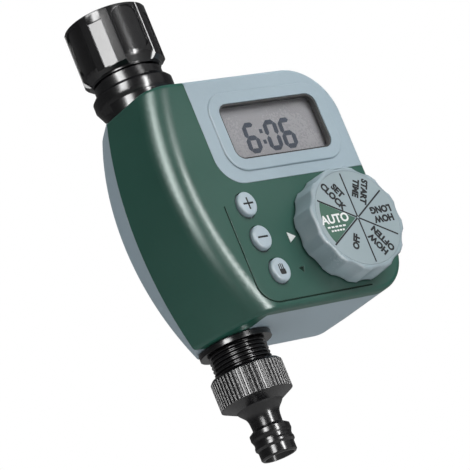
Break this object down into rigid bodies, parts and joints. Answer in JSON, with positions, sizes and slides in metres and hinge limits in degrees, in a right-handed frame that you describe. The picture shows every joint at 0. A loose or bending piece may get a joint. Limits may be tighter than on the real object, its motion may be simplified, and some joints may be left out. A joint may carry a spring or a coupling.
{
  "type": "drip irrigation timer",
  "caption": "Tap-mounted electronic watering timer with a swivel inlet nut, display, push buttons, setting dial, battery tray and quick-connect outlet.",
  "frame": {"origin": "centre of the inlet nut's threaded mouth, on the water axis", "axes": "+Z out of the inlet along the water axis, so the body hangs towards -Z; the dial and display face -Y; +X to the right as seen from the front"},
  "size_m": [0.1109, 0.071, 0.2123],
  "materials": {
    "green_shell": "semi-gloss moulded ABS",
    "grey_shell": "satin moulded ABS, pale blue-grey",
    "knob_grey": "satin moulded ABS, pale blue-grey",
    "button_grey": "satin pale grey",
    "black_plastic": "glossy black moulded plastic",
    "white_plastic": "natural acetal",
    "clear_lens": "clear moulded window",
    "lcd": "grey reflective liquid-crystal panel",
    "label_print": "printed label",
    "white_print": "raised white mark",
    "rubber_black": "moulded rubber",
    "rubber_white": "translucent silicone keypad",
    "steel": "zinc-plated or stainless",
    "brass_contact": "plated contact",
    "copper_coil": "enamelled copper winding",
    "board_green": "solder-masked board",
    "chip_black": "epoxy package",
    "cell_jacket": "plain jacket with bright ends",
    "wire_red": "insulated wire"
  },
  "bodies": {
    "housing": {"front_cover": "green_shell", "display_panel": "grey_shell", "back_shell": "grey_shell", "housing_screws": "steel", "display_lens": "clear_lens", "window_gasket": "rubber_black", "lcd_glass": "lcd", "lcd_holder": "black_plastic", "lcd_contact_strips": "rubber_black", "circuit_board": "board_green", "controller_chip": "chip_black", "board_screws": "steel", "keypad_membrane": "rubber_white", "dial_seal": "rubber_black", "dial_pointer": "white_print", "inlet_tailpiece": "black_plastic", "neck_o_ring": "rubber_black", "inlet_filter": "white_plastic", "inlet_washer": "rubber_black", "valve_body": "black_plastic", "diaphragm": "rubber_black", "valve_bonnet": "black_plastic", "bonnet_screws": "steel", "diaphragm_spring": "steel", "core_tube": "steel", "solenoid_coil": "copper_coil", "solenoid_yoke": "steel", "plunger_spring": "steel", "battery_bay": "black_plastic", "bay_contacts": "brass_contact", "coil_wires": "wire_red", "battery_wires": "wire_red"},
    "dial": {"dial_knob": "knob_grey", "dial_label": "label_print", "dial_wiper_disc": "white_plastic", "dial_contact": "brass_contact"},
    "plus_key": {"button_plus": "button_grey"},
    "minus_key": {"button_minus": "button_grey"},
    "manual_key": {"button_manual": "button_grey"},
    "inlet_swivel": {"inlet_nut": "black_plastic"},
    "washer": {"outlet_washer": "rubber_black"},
    "adaptor": {"outlet_adaptor": "black_plastic"},
    "tray": {"battery_tray": "grey_shell", "tray_seal": "rubber_black", "aaa_cells": "cell_jacket", "cell_link": "brass_contact"},
    "plunger": {"solenoid_plunger": "steel", "pilot_seal": "rubber_black"},
    "diaphragm_centre": {"diaphragm_plate": "white_plastic"}
  },
  "joints": [
    {"name": "dial_turn", "type": "hinge", "parent": "housing", "child": "dial", "pos_m": [0.051, -0.0355, -0.1266], "axis": [0, -1, 0], "continuous": true},
    {"name": "plus_press", "type": "slide", "parent": "housing", "child": "plus_key", "axis": [0, 1, 0], "range_m": [0, 0.0008]},
    {"name": "minus_press", "type": "slide", "parent": "housing", "child": "minus_key", "axis": [0, 1, 0], "range_m": [0, 0.0008]},
    {"name": "manual_press", "type": "slide", "parent": "housing", "child": "manual_key", "axis": [0, 1, 0], "range_m": [0, 0.0008]},
    {"name": "inlet_nut_turn", "type": "hinge", "parent": "housing", "child": "inlet_swivel", "pos_m": [0, 0, 0], "axis": [0, 0, 1], "continuous": true},
    {"name": "adaptor_travel", "type": "slide", "parent": "housing", "child": "washer", "axis": [0, 0, -1], "range_m": [0, 0.0128]},
    {"name": "adaptor_turn", "type": "hinge", "parent": "washer", "child": "adaptor", "pos_m": [0, 0, -0.1767], "axis": [0, 0, -1], "range_deg": [0, 2520]},
    {"name": "tray_slide", "type": "slide", "parent": "housing", "child": "tray", "axis": [1, 0, 0], "range_m": [0, 0.06]},
    {"name": "plunger_lift", "type": "slide", "parent": "housing", "child": "plunger", "axis": [1, 0, 0], "range_m": [0, 0.0016], "deforming": ["plunger_spring"]},
    {"name": "diaphragm_lift", "type": "slide", "parent": "housing", "child": "diaphragm_centre", "axis": [1, 0, 0], "range_m": [0, 0.0015], "deforming": ["diaphragm", "diaphragm_spring"]}
  ],
  "couplings": [
    {"joint": "adaptor_travel", "follows": "adaptor_turn", "m_per_rad": 0.00028871},
    {"joint": "diaphragm_lift", "follows": "plunger_lift", "ratio": 0.9375}
  ]
}
